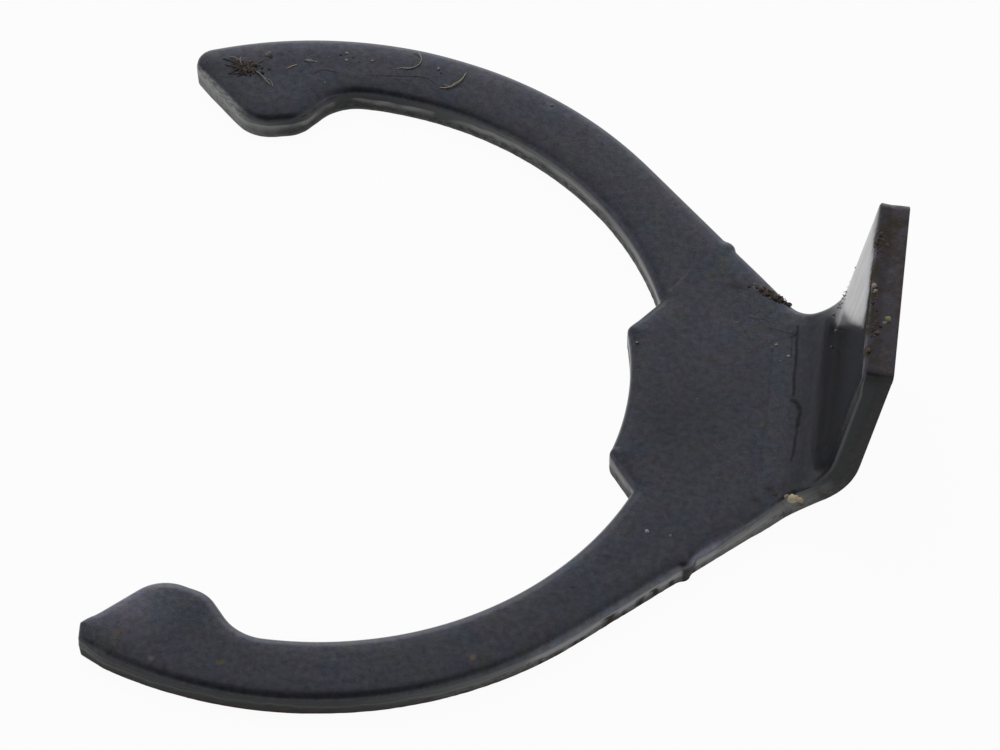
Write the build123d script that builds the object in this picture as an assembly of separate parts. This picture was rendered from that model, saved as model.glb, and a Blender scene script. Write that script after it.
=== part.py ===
from build123d import *
from math import cos, sin, tan, radians
import os

# A spring clip stamped from steel sheet: a crescent whose two arms snap into a groove round a shaft,
# with a tab folded up behind it to pull it off again. One piece, in millimetres.
# The shaft's axis is Z and the underside lies on z = 0. The arms open towards -X, and the tab stands at +X.

# Sheet
sheet_t = 1.5              # thickness
roll_r = 0.3               # rounding that the punch leaves along the upper edges

# Crescent
seat_r = 15.0              # circle that the lug and both toes grip: the bottom of the groove
relief = 1.9               # between lug and toes, the arms stand back from that circle by this much
arm_w = 3.35               # width of the arms

# Lug at the back of the mouth, as angles from +X
seat_half_deg = 15.0       # the lug grips this far each side
seat_corner_r = 0.45       # corners at the ends of that grip
shoulder_deg = 5.0         # its shoulders fall back to the arms within this angle
shoulder_root_r = 0.4      # fillet where a shoulder meets an arm

# Toe at the end of each arm
heel_deg = 94.1            # the toe leaves the arm's inner edge at this angle from +X
rise_deg = 6.9             # the stretch that grips the shaft starts this far past the heel
pad_deg = 9.2              # and is this long
tip_deg = 6.1              # the blunt end's inner corner is this far past the grip
tip_lean_deg = 1.2         # and its outer corner this far back again
tip_w = 0.9                # width of the blunt end
heel_root_r = 2.5          # fillet at the heel
pad_start_r = 1.7          # corner at the start of the grip
pad_end_r = 2.1            # corner at its end
tip_corner_r = 0.4         # inner corner of the blunt end
tip_outer_corner_r = 1.0   # outer corner of the blunt end

# Taper from each arm to the neck
taper_deg = 45.0           # the outside edge leaves its arc here and runs straight to the neck
neck_r = 2.6               # fillet where taper and tab meet
nib_along = 6.45           # the nib left by the carrier strip is this far along the taper
nib_w = 0.8                # its width at the edge
nib_h = 0.16               # it stands this far out of the edge
nib_root_r = 0.3           # fillet at each side of it

# Fold and tab
fold_past_neck = 0.43      # the fold ends this far past the neck's fillet
bend_r = 3.25              # inside radius of the fold
bend_deg = 81.0            # the tab is folded up by this angle
tab_w = 10.8               # width of the tab at the fold
tab_inset = 0.22           # each side of the tab leans in by this much up to its top
tab_h = 11.01              # height of the tab's inner upper edge above the underside
tab_corner_r = 0.5         # upper corners of the tab


def polar(radius, degrees):
    return Vector(radius * cos(radians(degrees)), radius * sin(radians(degrees)))


def arc(radius, start_deg, end_deg):
    return CenterArc((0, 0), radius, start_deg, end_deg - start_deg)


# Edges of the arms
inner_r = seat_r + relief
outer_r = inner_r + arm_w

# Where the fold starts, the height of its upper end, the straight leg above it, and the tab's reach
up = radians(bend_deg)
neck_x = (outer_r - tab_w / 2 * sin(radians(taper_deg))) / cos(radians(taper_deg))
bend_x = neck_x + neck_r * tan(radians(taper_deg) / 2) + fold_past_neck - bend_r * sin(up)
fold_top = sheet_t + bend_r * (1 - cos(up))
leg = (tab_h - fold_top) / sin(up)
reach_x = bend_x + (bend_r + sheet_t) * sin(up) + leg * cos(up)

# Corners of one half of the outline
seat_corner = polar(seat_r, seat_half_deg)
shoulder_root = polar(inner_r, seat_half_deg + shoulder_deg)
heel = polar(inner_r, heel_deg)
pad_start_deg = heel_deg + rise_deg
pad_end_deg = pad_start_deg + pad_deg
tip_end_deg = pad_end_deg + tip_deg - tip_lean_deg
pad_start = polar(seat_r, pad_start_deg)
pad_end = polar(seat_r, pad_end_deg)
tip_inner = polar(outer_r - tip_w, pad_end_deg + tip_deg)
tip_outer = polar(outer_r, tip_end_deg)
taper_start = polar(outer_r, taper_deg)
neck = Vector(neck_x, tab_w / 2)
along_taper = (neck - taper_start).normalized()
nib_start = taper_start + along_taper * (nib_along - nib_w / 2)
nib_end = taper_start + along_taper * (nib_along + nib_w / 2)
nib_top = (nib_start + nib_end) / 2 + polar(nib_h, taper_deg)

# Fillet at each corner that is not left sharp
corner_fillets = [
    (seat_corner, seat_corner_r),
    (shoulder_root, shoulder_root_r),
    (heel, heel_root_r),
    (pad_start, pad_start_r),
    (pad_end, pad_end_r),
    (tip_inner, tip_corner_r),
    (tip_outer, tip_outer_corner_r),
    (nib_start, nib_root_r),
    (nib_end, nib_root_r),
    (neck, neck_r),
]


def make_outline():
    # Seen along the shaft's axis: one arm, half the lug and half the tab, then its mirror image
    past_tab = reach_x + sheet_t
    half = Wire([
        arc(seat_r, 0, seat_half_deg),
        Line(seat_corner, shoulder_root),
        arc(inner_r, seat_half_deg + shoulder_deg, heel_deg),
        Line(heel, pad_start),
        arc(seat_r, pad_start_deg, pad_end_deg),
        Line(pad_end, tip_inner),
        Line(tip_inner, tip_outer),
        arc(outer_r, tip_end_deg, taper_deg),
        Line(taper_start, nib_start),
        ThreePointArc(nib_start, nib_top, nib_end),
        Line(nib_end, neck),
        Line(neck, (past_tab, tab_w / 2)),
        Line((past_tab, tab_w / 2), (past_tab, 0)),
        Line((past_tab, 0), (seat_r, 0)),
    ])
    face = Sketch() + Face(half)
    for corner, radius in corner_fillets:
        face = fillet(face.vertices().sort_by_distance(corner)[0], radius)
    return face + mirror(face, Plane.XZ)


def make_folded_strip():
    # Side view of the sheet, flat and then folded up, wider than the clip
    fold_centre = (bend_x, sheet_t + bend_r)
    along_leg = Vector(leg * cos(up), leg * sin(up))
    outer_fold = CenterArc(fold_centre, bend_r + sheet_t, -90, bend_deg)
    inner_fold = CenterArc(fold_centre, bend_r, -90, bend_deg)
    outer_top = outer_fold @ 1 + along_leg
    inner_top = inner_fold @ 1 + along_leg
    profile = Wire([
        Line((-outer_r, 0), outer_fold @ 0),
        outer_fold,
        Line(outer_fold @ 1, outer_top),
        Line(outer_top, inner_top),
        Line(inner_top, inner_fold @ 1),
        inner_fold,
        Line(inner_fold @ 0, (-outer_r, sheet_t)),
        Line((-outer_r, sheet_t), (-outer_r, 0)),
    ])
    return extrude(Plane.XZ * (Sketch() + Face(profile)), outer_r + sheet_t, both=True)


def make_tab_trim():
    # What is cut from the tab's sides above the fold, drawn on its inner face: it narrows in a gentle curve
    inner_fold_end = Vector(bend_x + bend_r * sin(up), 0, fold_top)
    tab_plane = Plane(inner_fold_end, x_dir=(0, 1, 0), z_dir=(sin(up), 0, -cos(up)))
    side = TangentArc((tab_w / 2, 0), (tab_w / 2 - tab_inset, leg), tangent=(0, 1))
    window = make_face([
        side,
        Line(side @ 1, (tab_inset - tab_w / 2, leg)),
        mirror(side, Plane.YZ),
        Line((-tab_w / 2, 0), (tab_w / 2, 0)),
    ])
    window = fillet(window.vertices().group_by(Axis.Y)[-1], tab_corner_r)
    surround = Pos(0, (leg + sheet_t) / 2) * Rectangle(2 * tab_w, leg + sheet_t)
    return extrude(tab_plane * (surround - window), 2 * sheet_t, both=True)


def round_upper_edges(clip):
    # The punched side of the sheet is its flat top, the hollow of the fold and the tab's inner face.
    # Every edge round it is rolled over; the two lines where the fold begins and ends stay smooth.
    directions = [Vector(-sin(turn), 0, cos(turn)) for turn in (0, up / 2, up)]
    upper_faces = [f for f in clip.faces() if any((f.normal_at() - d).length < 0.001 for d in directions)]
    edges = [edge for face in upper_faces for edge in face.edges()]
    rim = [edge for edge in edges if edges.count(edge) == 1]
    return fillet(rim, roll_r)


def make_clip():
    blank = extrude(make_outline(), tab_h + sheet_t, dir=(0, 0, 1))
    return round_upper_edges((make_folded_strip() & blank) - make_tab_trim())


clip = make_clip()
os.makedirs("parts", exist_ok=True)
export_step(clip, "parts/circlip.step")
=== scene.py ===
import bmesh
import bpy
import numpy as np
from mathutils import Euler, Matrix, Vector


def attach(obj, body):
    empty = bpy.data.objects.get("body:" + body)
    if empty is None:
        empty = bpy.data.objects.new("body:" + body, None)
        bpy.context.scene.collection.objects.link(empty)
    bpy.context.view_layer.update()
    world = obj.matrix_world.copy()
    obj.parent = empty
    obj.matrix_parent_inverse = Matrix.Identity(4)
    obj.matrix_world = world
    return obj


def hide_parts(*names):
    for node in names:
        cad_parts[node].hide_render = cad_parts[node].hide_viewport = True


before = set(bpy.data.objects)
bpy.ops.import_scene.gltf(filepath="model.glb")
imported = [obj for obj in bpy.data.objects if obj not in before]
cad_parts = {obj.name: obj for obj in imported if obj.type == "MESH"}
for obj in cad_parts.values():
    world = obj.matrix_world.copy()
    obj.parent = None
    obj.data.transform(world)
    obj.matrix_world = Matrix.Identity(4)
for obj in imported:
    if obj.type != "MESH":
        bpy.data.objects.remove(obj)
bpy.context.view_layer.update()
mm = 0.001  # every length below is in millimetres, and meshes are stored in metres


class Wire:
    # a socket that takes part in sums: every operator adds a Math node
    def __init__(self, tree, socket):
        self.tree, self.socket = tree, socket

    def maths(self, operation, *others, clamp=False):
        node = self.tree.nodes.new("ShaderNodeMath")
        node.operation, node.use_clamp = operation, clamp
        for slot, value in zip(node.inputs, (self, *others)):
            plug(self.tree, slot, value)
        return Wire(self.tree, node.outputs[0])

    def __add__(self, other):
        return self.maths("ADD", other)

    def __sub__(self, other):
        return self.maths("SUBTRACT", other)

    def __mul__(self, other):
        return self.maths("MULTIPLY", other)

    def __rsub__(self, other):
        return self * -1 + other

    __radd__, __rmul__ = __add__, __mul__

    def size(self):
        return self.maths("ABSOLUTE")

    def most(self, other):
        return self.maths("MAXIMUM", other)

    def rise(self, low, high):
        # 0 below `low`, 1 above `high`, straight between them; the other way round when low > high
        return ((self - low) * (1 / (high - low))).maths("ADD", 0, clamp=True)


def plug(tree, slot, value):
    if isinstance(value, Wire):
        tree.links.new(value.socket, slot)
    else:
        slot.default_value = value


def joined(operation, wires):
    # one wire from several, two at a time
    first, *others = wires
    for other in others:
        first = first.maths(operation, other)
    return first


class Recipe:
    # the nodes of one material or world, emptied first
    def __init__(self, owner):
        owner.use_nodes = True
        self.tree = owner.node_tree
        self.tree.nodes.clear()

    def add(self, kind, settings=None, inputs=None, output=0):
        # any node but Math: its settings first, then the values or wires of its sockets
        node = self.tree.nodes.new(kind)
        for name, value in (settings or {}).items():
            setattr(node, name, value)
        for name, value in (inputs or {}).items():
            plug(self.tree, node.inputs[name], value)
        return Wire(self.tree, node.outputs[output]) if node.outputs else node

    def blend(self, factor, first, second):
        # two colours; `factor` 0 gives the first
        first, second = (c if isinstance(c, Wire) else (*c, 1) for c in (first, second))
        return self.add("ShaderNodeMix", {"data_type": "RGBA"}, {0: factor, 6: first, 7: second}, 2)

    def noise(self, place, scale, detail=3, roughness=0.55):
        sockets = {"Vector": place, "Scale": scale, "Detail": detail, "Roughness": roughness}
        return self.add("ShaderNodeTexNoise", {}, sockets)

    def carried(self, name, output):
        # what the mesh holds under this name
        return self.add("ShaderNodeAttribute", {"attribute_name": name}, output=output)

    def vector(self, operation, *values, output="Vector"):
        return self.add("ShaderNodeVectorMath", {"operation": operation}, dict(enumerate(values)), output)

    def stretch(self, place, amounts):
        return self.vector("MULTIPLY", place, amounts)

    def scaled(self, place, times):
        return self.add("ShaderNodeVectorMath", {"operation": "SCALE"}, {0: place, "Scale": times})

    def part(self, place, axis):
        return self.add("ShaderNodeSeparateXYZ", {}, {0: place}, axis)

    def surface(self, sockets):
        return self.add("ShaderNodeBsdfPrincipled", {}, sockets)


def addPiece(name, points, faces, material, numbers=None, smooth=True, mergeWithin=1e-8):
    # a mesh from points in millimetres, its doubles merged and its faces turned outwards
    mesh = bpy.data.meshes.new(name)
    mesh.from_pydata((points * mm).tolist(), [], faces.tolist())
    for key, values in (numbers or {}).items():
        kind, slot = ("FLOAT", "value") if values.ndim == 1 else ("FLOAT_VECTOR", "vector")
        mesh.attributes.new(key, kind, "POINT").data.foreach_set(slot, values.astype(np.float32).ravel())
    work = bmesh.new()
    work.from_mesh(mesh)
    bmesh.ops.remove_doubles(work, verts=work.verts, dist=mergeWithin)
    bmesh.ops.recalc_face_normals(work, faces=work.faces)
    work.to_mesh(mesh)
    work.free()
    mesh.polygons.foreach_set("use_smooth", [smooth] * len(mesh.polygons))
    mesh.materials.append(material)
    piece = bpy.data.objects.new(name, mesh)
    bpy.context.scene.collection.objects.link(piece)
    return piece


def gridFaces(rows, columns, first=0):
    # four-sided faces between neighbours of a grid whose points are numbered row by row
    corner = (np.arange(rows - 1)[:, None] * columns + np.arange(columns - 1)).ravel() + first
    return np.stack([corner, corner + 1, corner + columns + 1, corner + columns], axis=1)


def softNoise(across, down, seed, period, rows=64):
    # random heights from -1 to 1 at whole numbers, joined by the ease f*f*(3 - 2f)
    heights = np.random.default_rng(seed).random((period, rows)) * 2 - 1
    columnAt, rowAt = np.floor(across).astype(int), np.floor(down).astype(int)
    u, v = across - columnAt, down - rowAt
    u, v = u * u * (3 - 2 * u), v * v * (3 - 2 * v)

    def at(i, j):
        return heights[(columnAt + i) % period, (rowAt + j) % rows]

    return (at(0, 0) * (1 - u) + at(1, 0) * u) * (1 - v) + (at(0, 1) * (1 - u) + at(1, 1) * u) * v


lookFrom = {
    "place": (23.942, -172.027, 214.686), "turn": (38.962, -1.808, 7.255),
    "lens": 207.63, "sensor": 36,
}


def addCamera(look):
    data = bpy.data.cameras.new("camera")
    data.lens, data.sensor_width = look["lens"], look["sensor"]
    camera = bpy.data.objects.new("camera", data)
    camera.location = Vector(look["place"]) * mm
    camera.rotation_euler = Euler(np.radians(look["turn"]))
    bpy.context.scene.collection.objects.link(camera)
    bpy.context.scene.camera = camera


addCamera(lookFrom)
print("camera placed")


# the clip's outline is drawn as if the sheet were still flat
clip = {
    "thickness": 1.5,
    "seat": 15.0, "inner": 16.9, "outer": 20.24,  # radii
    # degrees from +X
    "lugHalf": 15.0, "shoulder": 20.0, "heel": 94.1, "pad": (101.0, 110.2), "taper": 45.0,
    "insideRadii": (2.1, 1.7, 2.5, 0.4, 0.45),  # pad's end and start, heel, shoulder, lug's corner
    "outsideRadii": (0, 0.35, 0.25, 2.6),  # start of the taper, both sides of the nib, neck
    "nibAlong": 6.45, "nibWidth": 0.8, "nibHeight": 0.17,
    "foldStart": 21.504, "foldRadius": 3.25, "foldTurn": 81.0,
    "foldSkew": 0.013,  # the fold isn't quite square to the clip
    "tabLength": 12.31, "tabFoot": 5.497, "tabTop": 5.168,  # half widths where the fold starts and at the top
    "tabShift": 0.27, "tabLift": 0.04,  # towards the far arm, and higher on that side
    # each arm: its side, how far its toe is turned and the tab's corner above it. Then its blunt end: both
    # corners as radius and angle, where the outer arc begins and the radius with which a straight piece joins
    # it, how round the corners are, and how far from the inner to the outer one the mesh's two sides meet
    "farArm": {
        "side": 1, "toeTurn": 0.4, "tabCorner": 0.22, "tipInner": (19.34, 116.3), "tipOuter": (20.24, 115.1),
        "arcFrom": 115.1, "joinRadius": None, "tipRadii": (0.4, 1.0), "share": 0.31,
    },
    "nearArm": {
        "side": -1, "toeTurn": 0, "tabCorner": 0.3, "tipInner": (19.24, 115.89), "tipOuter": (20.05, 114.56),
        "arcFrom": 110.8, "joinRadius": 3.0, "tipRadii": (0.12, 0.2), "share": 0.45,
    },
    "stretches": (80, 120, 100, 90),  # steps along toe, arm, plate, and lug or tab
    "closer": (1.6, 1, 1, 1),  # the power that draws them towards each start
    "toeEnds": {"inner": 3, "outer": 2},  # the first stretch ends so many degrees before the heel
    "across": 48, "acrossBelow": 30, "towardsRims": 0.45,  # steps from wall to wall, and how much they crowd
    "bandSteps": (8, 5, 8, 3),  # steps down the roll, sheared band, torn band, lip
    "roll": {"inside": (0.47, 0.39), "outside": (0.50, 0.42)},  # how far the punch pulled the rim in and down
    "tipRoll": (0.28, 0.27),  # the same at the blunt ends
    "tipReach": (0.35, 1.2),  # it grows from this far off the end, over this length
    "farRoll": {"from": (0, 6), "less": 0.32},  # the far outer rim has less, growing along Y
    "neckRoll": {"from": (20.1, 0.6), "until": (24.5, -1.2), "less": 0.35},  # so has the near neck, along X
    "sag": (1.6, 0.10),  # inside the roll the face droops: width and depth
    # how far the torn band leans in at its foot, and the power of the depth with which that grows
    "tornLean": {"inside": 0.04, "outside": 0.13, "toe": 0.08}, "tornBow": 0.8,
    "tabLean": {"from": (23, 3), "less": 0.8},  # the tab is cut nearly square
    "endLean": {"from": (-0.4, 0.3), "more": 0.12},  # the tab's end is longer on its outer face
    "lip": 0.03,
    "tearAt": 0.78,  # height where the torn band begins
    # how uneven the roll and the start of the torn band are: lengths and strengths of soft waves, and seeds
    "rollWaves": ((9, 0.12), (2, 0.05)), "rollSeeds": (3, 5),
    "tearWaves": ((3, 0.1), (0.7, 0.07)), "tearSeed": 6,
    # the walls' grain: lengths, heights, strengths and seeds, and how far it may stand out
    "grains": ((0.22, 0.22, 0.022, 11), (0.9, 0.5, 0.018, 12)), "grainTop": 0.004,
    "roughAt": ((0, 0), (0.15, 0.3), (0.7, 1), (0.6, 0)),  # its share at the top and bottom of each band
}


def onCircle(radius, degrees):
    # a place round the shaft's axis, by its angle from +X
    return radius * np.array([np.cos(np.radians(degrees)), np.sin(np.radians(degrees))])


def straight(start, end):
    return {"start": np.array(start, float), "end": np.array(end, float), "round": False}


def bowed(centre, radius, start, end, sense):
    # part of a circle; sense 1 runs anticlockwise
    return {"start": start, "end": end, "round": True, "centre": np.array(centre, float), "radius": radius,
            "sense": sense}


def gapTo(run, point):
    # how far a point stands to the left of a run, and the direction in which that grows: radius less distance
    # from the centre on a round run, and the product with the left-hand direction on a straight one
    if run["round"]:
        away = point - run["centre"]
        reach = np.hypot(*away)
        return run["sense"] * (run["radius"] - reach), -run["sense"] * away / reach
    along = (run["end"] - run["start"]) / np.hypot(*(run["end"] - run["start"]))
    left = np.array([-along[1], along[0]])
    return (point - run["start"]) @ left, left


def sweep(run, start, end, step=0.01):
    # evenly spaced points along a run from one of its points to another
    if not run["round"]:
        count = max(2, int(np.hypot(*(end - start)) / step))
        return start + (end - start) * np.linspace(0, 1, count)[:, None]
    first, last = (np.arctan2(*(point - run["centre"])[::-1]) for point in (start, end))
    turn = run["sense"] * ((run["sense"] * (last - first)) % (2 * np.pi))
    angles = first + turn * np.linspace(0, 1, max(6, int(abs(turn) * run["radius"] / step)))
    return run["centre"] + run["radius"] * np.stack([np.cos(angles), np.sin(angles)], axis=1)


def cornerCircle(first, second, radius, tries=25):
    # the circle that stands its radius from both runs, on the inner side of their corner, found by Newton's
    # steps; the run goes from foot to foot
    corner = first["end"]
    leftA, leftB = gapTo(first, corner)[1], gapTo(second, corner)[1]
    side = np.sign(leftA[0] * leftB[1] - leftA[1] * leftB[0])
    centre = corner.copy()
    for _ in range(tries):
        (gapA, growA), (gapB, growB) = gapTo(first, centre), gapTo(second, centre)
        centre = centre - np.linalg.solve([growA, growB], np.array([gapA, gapB]) - side * radius)
    footA, footB = (centre - side * radius * gapTo(run, centre)[1] for run in (first, second))
    return bowed(centre, radius, footA, footB, side)


def roundedPath(runs, radii, steps=60):
    # runs joined end to end, each corner rounded unless its radius is 0. Gives points, left-hand normals and
    # the length up to each point
    trimmed, start = [], runs[0]["start"]
    for first, second, radius in zip(runs, runs[1:], radii):
        if not radius:
            trimmed.append(sweep(first, start, first["end"]))
            start = first["end"]
            continue
        bend = cornerCircle(first, second, radius)
        trimmed.append(sweep(first, start, bend["start"]))
        trimmed.append(sweep(bend, bend["start"], bend["end"], radius / steps))
        start = bend["end"]
    trimmed.append(sweep(runs[-1], start, runs[-1]["end"]))
    points = np.concatenate(trimmed)
    points = points[np.r_[True, np.hypot(*np.diff(points, axis=0).T) > 1e-6]]  # no point twice
    length = np.r_[0, np.cumsum(np.hypot(*np.diff(points, axis=0).T))]
    along = np.gradient(points, length, axis=0)
    along /= np.hypot(*along.T)[:, None]
    return points, np.stack([-along[:, 1], along[:, 0]], axis=1), length


def insideRuns(s, arm, tipMiddle):
    # from the middle of the blunt end over the pad, the arm and the shoulder to the middle of the lug
    tipInner = onCircle(*arm["tipInner"])
    padStart, padEnd = (onCircle(s["seat"], angle + arm["toeTurn"]) for angle in s["pad"])
    heel, shoulder = (onCircle(s["inner"], angle) for angle in (s["heel"] + arm["toeTurn"], s["shoulder"]))
    lugCorner, lugMiddle = (onCircle(s["seat"], angle) for angle in (s["lugHalf"], 0))
    runs = [
        straight(tipMiddle, tipInner), straight(tipInner, padEnd),
        bowed((0, 0), s["seat"], padEnd, padStart, -1), straight(padStart, heel),
        bowed((0, 0), s["inner"], heel, shoulder, -1), straight(shoulder, lugCorner),
        bowed((0, 0), s["seat"], lugCorner, lugMiddle, -1),
    ]
    return roundedPath(runs, (arm["tipRadii"][0], *s["insideRadii"])), lugCorner


def outsideRuns(s, arm, tipMiddle):
    # from the middle of the blunt end along the arm, the taper with its nib and the tab's side to its top
    tipOuter, arcStart = onCircle(*arm["tipOuter"]), onCircle(s["outer"], arm["arcFrom"])
    shift, lift = arm["side"] * s["tabShift"], arm["side"] * s["tabLift"]
    tabTopX = s["foldStart"] + s["tabLength"]
    foot, top = s["tabFoot"] + shift, s["tabTop"] + shift
    slope = (top - foot) / s["tabLength"]
    # the taper, x + y = outer * sqrt(2), meets the tab's side at the neck
    neckX = (s["outer"] * np.sqrt(2) - foot + slope * s["foldStart"]) / (1 + slope)
    neck = np.array([neckX, s["outer"] * np.sqrt(2) - neckX])
    taperStart = onCircle(s["outer"], s["taper"])
    along = (neck - taperStart) / np.hypot(*(neck - taperStart))
    half, rise = s["nibWidth"] / 2, s["nibHeight"]
    nibStart, nibEnd = (taperStart + along * (s["nibAlong"] + offset) for offset in (-half, half))
    nibRadius = (half ** 2 + rise ** 2) / (2 * rise)
    nibCentre = (nibStart + nibEnd) / 2 + onCircle(rise - nibRadius, s["taper"])
    tabCorner = (tabTopX + lift, top)
    joining = [straight(tipOuter, arcStart)] if arm["joinRadius"] else []
    runs = [
        straight(tipMiddle, tipOuter), *joining, bowed((0, 0), s["outer"], arcStart, taperStart, -1),
        straight(taperStart, nibStart), bowed(nibCentre, nibRadius, nibStart, nibEnd, -1),
        straight(nibEnd, neck), straight(neck, tabCorner), straight(tabCorner, (tabTopX, 0)),
    ]
    joinRadii = [arm["joinRadius"]] if joining else []
    radii = (arm["tipRadii"][1], *joinRadii, *s["outsideRadii"], arm["tabCorner"])
    return roundedPath(runs, radii), taperStart, neck


def halfOutline(s, arm):
    # one arm on the +Y side: points, outward normals and lengths at the stations of its inner and outer edge
    tipInner, tipOuter = onCircle(*arm["tipInner"]), onCircle(*arm["tipOuter"])
    tipMiddle = tipInner + arm["share"] * (tipOuter - tipInner)
    inside, lugCorner = insideRuns(s, arm, tipMiddle)
    outside, taperStart, neck = outsideRuns(s, arm, tipMiddle)
    toeIn, toeOut = (onCircle(s[edge], s["heel"] - back) for edge, back in s["toeEnds"].items())
    insideMarks = [toeIn, onCircle(s["inner"], s["taper"]), lugCorner]
    outsideMarks = [toeOut, taperStart, neck]
    sides = []
    for (points, normals, length), marks, sign in ((inside, insideMarks, -1), (outside, outsideMarks, 1)):
        ends = [0, *(length[np.argmin(np.hypot(*(points - mark).T))] for mark in marks), length[-1]]
        stretches = zip(ends, ends[1:], s["stretches"], s["closer"])
        stations = [start + (end - start) * np.linspace(0, 1, steps, endpoint=False) ** power
                    for start, end, steps, power in stretches]
        stations = np.concatenate([*stations, [ends[-1]]])
        carried = [np.interp(stations, length, column) for column in (*points.T, *normals.T)]
        outward = sign * np.stack(carried[2:], axis=1)
        sides.append((np.stack(carried[:2], axis=1), outward / np.hypot(*outward.T)[:, None], stations))
    return sides


def wholeOutline(shape):
    # far half, then the near half mirrored and reversed: points, outward normals and lengths of both edges
    mirrored = np.array([1, -1])
    sides = []
    for far, near in zip(halfOutline(shape, shape["farArm"]), halfOutline(shape, shape["nearArm"])):
        points, outward = (np.concatenate([far[k], (near[k] * mirrored)[-2::-1]]) for k in (0, 1))
        sides.append((points, outward, np.concatenate([far[2], far[2][-1] + near[2][-1] - near[2][-2::-1]])))
    return sides


def foldUp(shape, flat):
    # past foldStart the sheet turns about a line along Y by (distance / middle radius), up to the full turn,
    # and runs straight on from there
    x, y, z = flat[..., 0], flat[..., 1], flat[..., 2]
    t, radius, turn = shape["thickness"], shape["foldRadius"], np.radians(shape["foldTurn"])
    start = shape["foldStart"] - shape["foldSkew"] * y
    past = np.maximum(x - start, 0)
    middle = radius + t / 2
    angle = np.minimum(past / middle, turn)
    reach = radius + t - z
    straightOn = np.maximum(past - middle * turn, 0)
    return np.stack([np.minimum(x, start) + reach * np.sin(angle) + straightOn * np.cos(turn), y,
                     radius + t - reach * np.cos(angle) + straightOn * np.sin(turn)], axis=-1)


def droop(shape, inward):
    # the upper face sinks towards its rim: depth * (1 - inward / width) cubed
    width, depth = shape["sag"]
    return depth * np.maximum(0, 1 - inward / width) ** 3


def growing(values, start, over):
    # 0 up to `start`, then straight up to 1 over the next stretch, or downwards over a negative one
    return np.clip((values - start) / over, 0, 1)


def roomForRoll(points, outward, share=0.72, flattest=0.2, widest=1.0, reach=9):
    # at a corner that bulges outwards the roll can't be wider than a share of the corner's radius
    alongEdge = np.gradient(points, axis=0)
    bulge = (np.gradient(outward, axis=0) * alongEdge).sum(axis=1) / np.hypot(*alongEdge.T) ** 2
    room = np.minimum(share / np.maximum(bulge, flattest), widest)
    nearby = np.lib.stride_tricks.sliding_window_view(np.pad(room, reach, mode="edge"), 2 * reach + 1)
    ease = np.hanning(2 * reach + 3)[1:-1]
    return np.convolve(np.pad(nearby.min(axis=1), reach, mode="edge"), ease / ease.sum(), mode="valid")


def uneven(around, total, middle, waves, seed):
    # the middle value plus one soft noise along the edge for each wave
    value = middle
    for number, (waveLength, strength) in enumerate(waves):
        period = max(4, int(total / waveLength))
        value = value + strength * softNoise(around * period, np.zeros_like(around), seed + number, period)
    return value[:, None]


def rollSize(s, points, around, total, grown, side, room):
    # how far in and down the rim is rolled at each station: less where it has no room and at the blunt ends
    sizes = zip(s["roll"][side], s["rollSeeds"])
    width, depth = (size * uneven(around, total, 1, s["rollWaves"], seed) for size, seed in sizes)
    if side == "outside":
        far, neck = s["farRoll"], s["neckRoll"]
        x, y = points.T
        share = 1 - far["less"] * growing(y, *far["from"])
        onNeck = growing(x, *neck["from"]) * growing(x, *neck["until"]) * (y < 0)
        share = (share * (1 - neck["less"] * onNeck))[:, None]
        width, depth = width * share, depth * share
    depth = depth * np.minimum(1, room / width) ** 0.5
    return (tip + (full - tip) * grown for tip, full in zip(s["tipRoll"], (np.minimum(width, room), depth)))


def leanIn(s, points, grown, side):
    # how far the foot of the torn band stands in from the wall at each station
    x, leans = points[:, :1], s["tornLean"]
    lean = leans[side] * (1 - s["tabLean"]["less"] * growing(x, *s["tabLean"]["from"]))
    fromTip = leans["toe"] + (lean - leans["toe"]) * grown
    if side == "inside":
        return fromTip
    start, over = s["endLean"]["from"]
    lean = lean - s["endLean"]["more"] * growing(x, s["foldStart"] + s["tabLength"] + start, over)
    return np.where(x < 0, fromTip, lean)


def wallProfile(s, points, along, length, total, side, room):
    # from the upper face's rim down: a quarter of an ellipse, a smooth sheared band, the rough torn band that
    # leans in, and a small lip. Gives inset and height for each station (rows) and profile step (columns)
    t, lip, around = s["thickness"], s["lip"], along / total
    fromEnd = np.minimum(length, length[-1] - length)[:, None]
    grown = growing(fromEnd, *s["tipReach"])
    rollWidth, rollDepth = rollSize(s, points, around, total, grown, side, room[:, None])
    lean = leanIn(s, points, grown, side)
    tear = uneven(around, total, s["tearAt"], s["tearWaves"], s["tearSeed"])
    rollSteps, shearSteps, tornSteps, lipSteps = s["bandSteps"]
    ease = np.linspace(0, np.pi / 2, rollSteps + 1)[None]
    rollIn = -rollWidth * (1 - np.sin(ease))
    rollZ = t - droop(s, -rollIn) - (rollDepth - s["sag"][1]) * (1 - np.cos(ease))
    down = np.linspace(0, 1, shearSteps + 1)[None, 1:]
    shearZ = (t - rollDepth) + (tear - t + rollDepth) * down
    down = np.linspace(0, 1, tornSteps + 1)[None, 1:]
    tornZ = tear + (lip - tear) * down
    tornIn = -lean * down ** s["tornBow"]
    turn = np.linspace(0, np.pi / 2, lipSteps + 1)[None, 1:]
    lipZ = lip * (1 - np.sin(turn)) + np.zeros_like(tear)
    lipIn = -lean - lip * (1 - np.cos(turn))
    inset = np.concatenate([rollIn, np.zeros_like(shearZ), tornIn, lipIn], axis=1)
    height = np.concatenate([rollZ, shearZ, tornZ, lipZ], axis=1)
    counts = (rollSteps + 1, shearSteps, tornSteps, lipSteps)
    rough = np.concatenate([np.linspace(*ends, count) for ends, count in zip(s["roughAt"], counts)])[None]
    grain = 0
    for grainLength, grainHeight, strength, seed in s["grains"]:
        period = max(4, int(total / grainLength))
        grain = grain + strength * softNoise(around[:, None] * period, height / grainHeight, seed, period)
    return inset + np.minimum(grain, s["grainTop"]) * rough, height


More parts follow.
